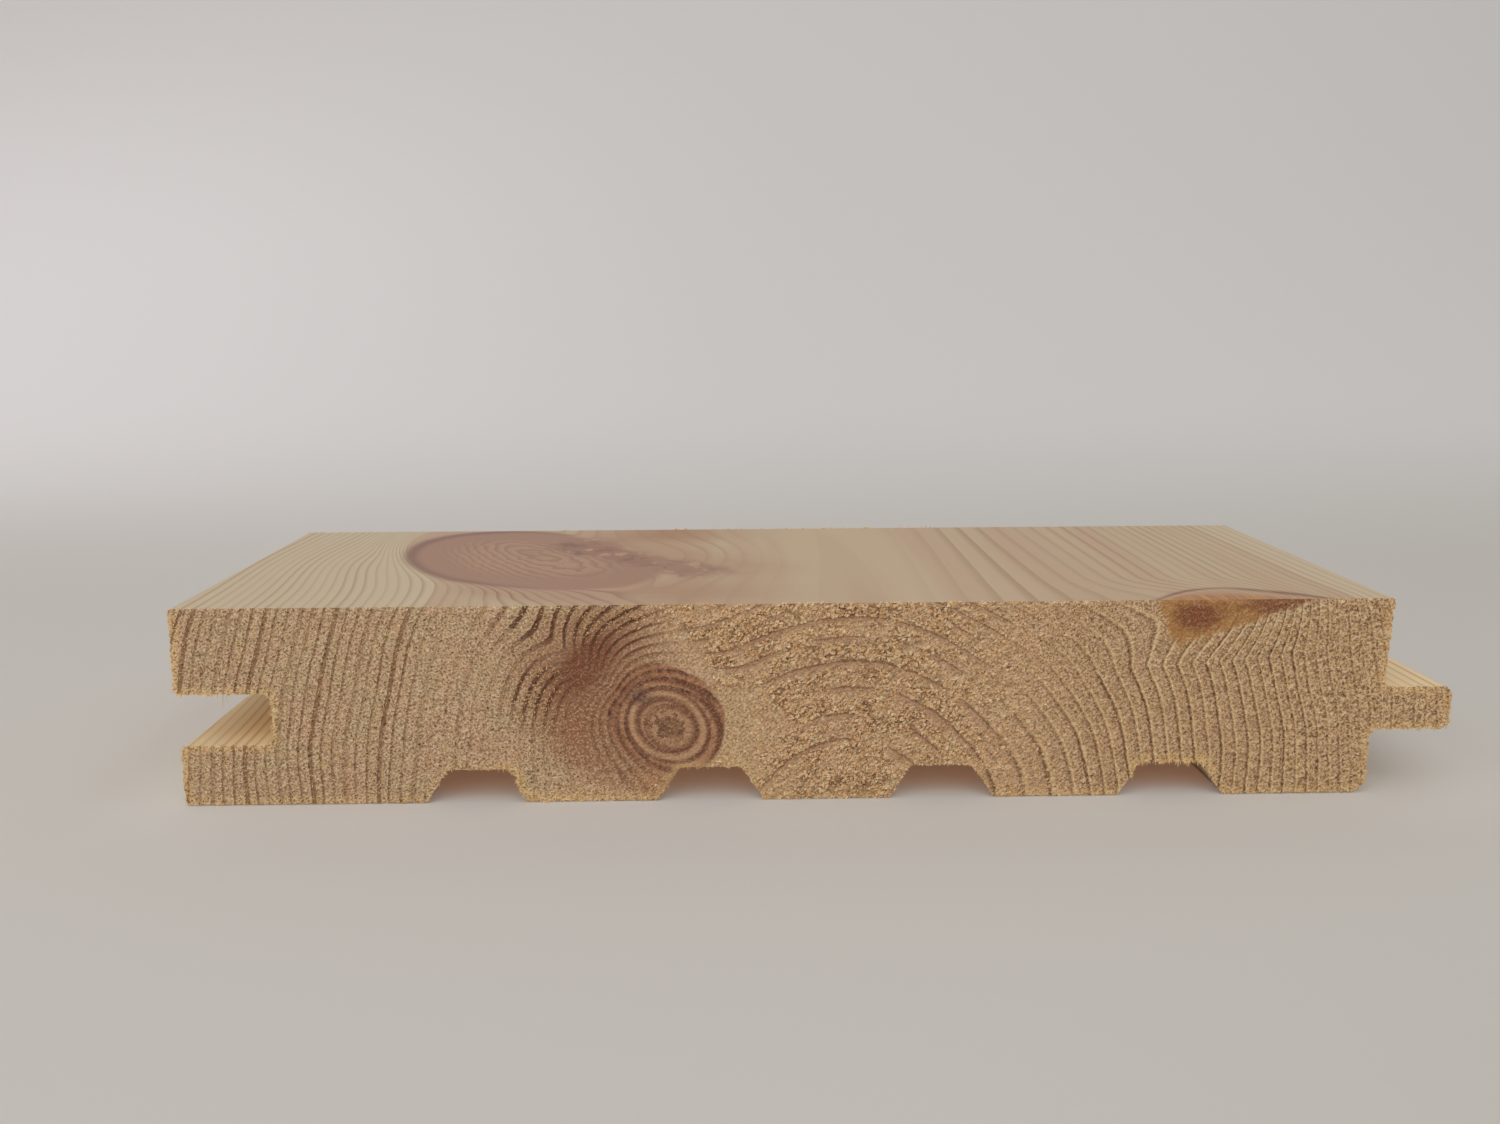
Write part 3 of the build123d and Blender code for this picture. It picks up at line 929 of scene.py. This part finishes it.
profile = [(SHEET_FRONT, 0.0), (BEND_START, 0.0)]
for k in range(1, 25):
    turn = math.radians(90 * k / 24)
    profile.append((BEND_START + BEND_RADIUS * math.sin(turn), BEND_RADIUS * (1 - math.cos(turn))))
profile.append((BEND_START + BEND_RADIUS, SHEET_TOP))
points = [(sign * SHEET_WIDTH / 2, y, z) for y, z in profile for sign in (-1, 1)]
faces = [(2 * k, 2 * k + 1, 2 * k + 3, 2 * k + 2) for k in range(len(profile) - 1)]
mesh = bpy.data.meshes.new("pale_sheet")
mesh.from_pydata(points, [], faces)
pale_sheet = new_object("pale_sheet", mesh)
pale_sheet.location.z = -TABLE_GAP / 1000
for polygon in mesh.polygons:
    polygon.use_smooth = True
paper, shader, place, (x, y, z) = finish("matt_paper")
# Painted light and shade on the sheet: the upright part is lighter than the floor, both are darker towards
# the right, and the floor is darker still in front to the right, where shade falls.
ground = ramp(x, -200.0, 260.0).blend(srgb(190, 186, 181), srgb(183, 180, 174))
painted_shade_front_right = ramp(y, -50.0, -130.0) * ramp(x, 0.0, 90.0)
ground = (painted_shade_front_right * 0.7).blend(ground, srgb(170, 166, 155))
wall = ramp(x, -500.0, 700.0).blend(srgb(224, 220, 219), srgb(202, 201, 200))
link(shader, "Base Color", ramp(y, 100.0, 480.0).blend(ground, wall))
# Painted light on the sheet, seen by the camera and in reflections: the far sheet is a little brighter,
# most to the left and low down; round the board the sheet is brighter, which lifts the board's shadow;
# and under the channels it glows warm, standing in for light bounced off the wood.
CAMERA_RAY, GLOSSY_RAY, TRANSMISSION_RAY = 0, 3, 6
rays = (CAMERA_RAY, GLOSSY_RAY, TRANSMISSION_RAY)
seen = sum(place.node("ShaderNodeLightPath", output=ray) for ray in rays)
far = ramp(y, 60.0, 300.0) * (0.04 + 0.11 * ramp(x, 60.0, -420.0) * ramp(z, 300.0, 60.0))
# Painted light round the board, which lifts the board's shadow on the sheet.
near = 0.08 * ramp(abs(x), 84.0, 64.0) * ramp(abs(y), 44.0, 22.0)
# Painted warm glow under the channels, for light bounced off the wood.
painted_channel_glow = ramp(y, FRONT_Y - 2.0, FRONT_Y + 7.0) * ramp(y, BACK_Y + 2.0, BACK_Y - 7.0)
painted_channel_glow = painted_channel_glow * ramp(abs(x - 0.9), 52.0, 46.0)
painted_light = ((far + near * (1 - painted_channel_glow)) * seen).shine_on((1.0, 1.0, 1.03))
painted_light = painted_light.shifted((painted_channel_glow * seen).shine_on((0.15, 0.072, 0.04)))
link(shader, "Emission Color", painted_light)
shader.inputs["Emission Strength"].default_value = 1.0
shader.inputs["Roughness"].default_value = 0.9
shader.inputs["Specular IOR Level"].default_value = 0.1
mesh.materials.append(paper)


def soft_light(name, place, aim, size, power):
    """A wide soft lamp at a place, turned to face another, in metres."""
    lamp = bpy.data.lights.new(name, "AREA")
    lamp.shape = "RECTANGLE"
    lamp.size, lamp.size_y = size
    lamp.energy = power
    lamp_object = new_object(name, lamp)
    lamp_object.location = place
    lamp_object.rotation_euler = (Vector(aim) - Vector(place)).to_track_quat("-Z", "Y").to_euler()


soft_light("key_light", (-0.1, -0.62, 0.5), (0.0, 0.0, 0.0), (1.0, 0.7), 2.3)
soft_light("ceiling_light", (0.0, 0.05, 0.7), (0.0, 0.0, 0.0), (0.9, 0.7), 0.7)

world = bpy.data.worlds.new("room")
bpy.context.scene.world = world
world.use_nodes = True
world.node_tree.nodes["Background"].inputs["Color"].default_value = (1.0, 0.98, 0.96, 1.0)
world.node_tree.nodes["Background"].inputs["Strength"].default_value = 0.42

# The camera. It stands 15 cm in front of the sawn end, a little above the board, and looks down at it
# through a slightly wide lens.

CAMERA_PLACE = Vector((-10.337, -181.393, 53.541)) / 1000
LOOK_DOWN, TURN_RIGHT, LEAN = 9.898, 1.083, -0.304      # degrees
LENS = 34.965                                           # mm on a 36 mm wide picture

camera = bpy.data.cameras.new("camera")
camera.lens = LENS
camera.sensor_width = 36.0
camera.clip_start = 0.01
camera_object = new_object("camera", camera)
turn = Matrix.Rotation(math.radians(-TURN_RIGHT), 4, "Z")
turn = turn @ Matrix.Rotation(math.radians(90 - LOOK_DOWN), 4, "X")
lean = Matrix.Rotation(math.radians(LEAN), 4, "Z")
camera_object.matrix_world = Matrix.Translation(CAMERA_PLACE) @ turn @ lean
bpy.context.scene.camera = camera_object
bpy.context.scene.view_settings.view_transform = "Standard"
